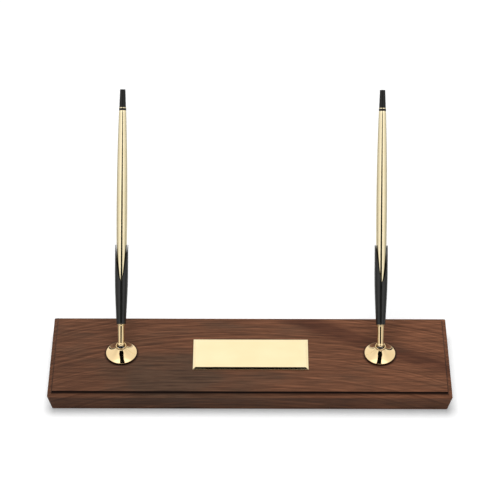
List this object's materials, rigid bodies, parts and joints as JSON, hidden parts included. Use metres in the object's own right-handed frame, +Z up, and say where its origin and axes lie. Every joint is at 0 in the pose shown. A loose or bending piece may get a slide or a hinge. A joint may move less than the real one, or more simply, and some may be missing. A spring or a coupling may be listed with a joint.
{
  "type": "desk pen set",
  "caption": "Long walnut desk base with a bare bevelled gilt plate and swivel holders, where slim gold ballpoint pens lean in notched black funnels.",
  "frame": {"origin": "middle of the felt underside, where the set stands on the desk", "axes": "+X to the right along the base, +Y to the back, where the pens lean, +Z up"},
  "size_m": [0.2794, 0.1661, 0.1546],
  "materials": {
    "walnut": "satin lacquered walnut with fine lengthwise grain",
    "felt": "dark green felt",
    "adhesive": "thin adhesive sheet",
    "satin_gilt": "pale gilt with a fine satin brush",
    "mirror_gilt": "mirror polished gilt",
    "barrel_gilt": "polished pale gilt",
    "black_plastic": "glossy black moulding",
    "steel": "turned steel",
    "brass": "plain turned brass",
    "nylon": "natural nylon"
  },
  "bodies": {
    "base": {"walnut_base": "walnut", "felt_pad": "felt", "plate_adhesive": "adhesive", "name_plate": "satin_gilt", "left_dish": "mirror_gilt", "left_bushing": "brass", "left_washer": "steel", "left_spring_washer": "steel", "right_dish": "mirror_gilt", "right_bushing": "brass", "right_washer": "steel", "right_spring_washer": "steel"},
    "left_swivel": {"left_ball_stud": "steel", "left_stud_nut": "steel"},
    "left_holder": {"left_stem": "mirror_gilt", "left_ball_seat": "nylon", "left_friction_spring": "steel", "left_funnel": "black_plastic"},
    "left_pen": {"left_barrel": "barrel_gilt", "left_tail_band": "black_plastic", "left_tail_ring": "barrel_gilt", "left_tail": "black_plastic", "left_connector": "brass", "left_section": "black_plastic", "left_nose_tip": "mirror_gilt", "left_refill_tube": "brass", "left_refill_point": "steel"},
    "right_swivel": {"right_ball_stud": "steel", "right_stud_nut": "steel"},
    "right_holder": {"right_stem": "mirror_gilt", "right_ball_seat": "nylon", "right_friction_spring": "steel", "right_funnel": "black_plastic"},
    "right_pen": {"right_barrel": "barrel_gilt", "right_tail_band": "black_plastic", "right_tail_ring": "barrel_gilt", "right_tail": "black_plastic", "right_connector": "brass", "right_section": "black_plastic", "right_nose_tip": "mirror_gilt", "right_refill_tube": "brass", "right_refill_point": "steel"}
  },
  "joints": [
    {"name": "left_turn", "type": "hinge", "parent": "base", "child": "left_swivel", "pos_m": [-0.08995, 0.00055, 0.02707], "axis": [0, 0, 1], "continuous": true},
    {"name": "left_lean", "type": "hinge", "parent": "left_swivel", "child": "left_holder", "pos_m": [-0.08995, 0.00055, 0.02707], "axis": [1, -0.0044, 0], "range_deg": [-2, 92]},
    {"name": "left_lift", "type": "slide", "parent": "left_holder", "child": "left_pen", "axis": [0.0031, 0.7071, 0.7071], "range_m": [0, 0.06]},
    {"name": "right_turn", "type": "hinge", "parent": "base", "child": "right_swivel", "pos_m": [0.09105, 0.00055, 0.02707], "axis": [0, 0, 1], "continuous": true},
    {"name": "right_lean", "type": "hinge", "parent": "right_swivel", "child": "right_holder", "pos_m": [0.09105, 0.00055, 0.02707], "axis": [0.9999, -0.0105, 0], "range_deg": [-2, 92]},
    {"name": "right_lift", "type": "slide", "parent": "right_holder", "child": "right_pen", "axis": [0.0074, 0.7071, 0.7071], "range_m": [0, 0.06]}
  ]
}
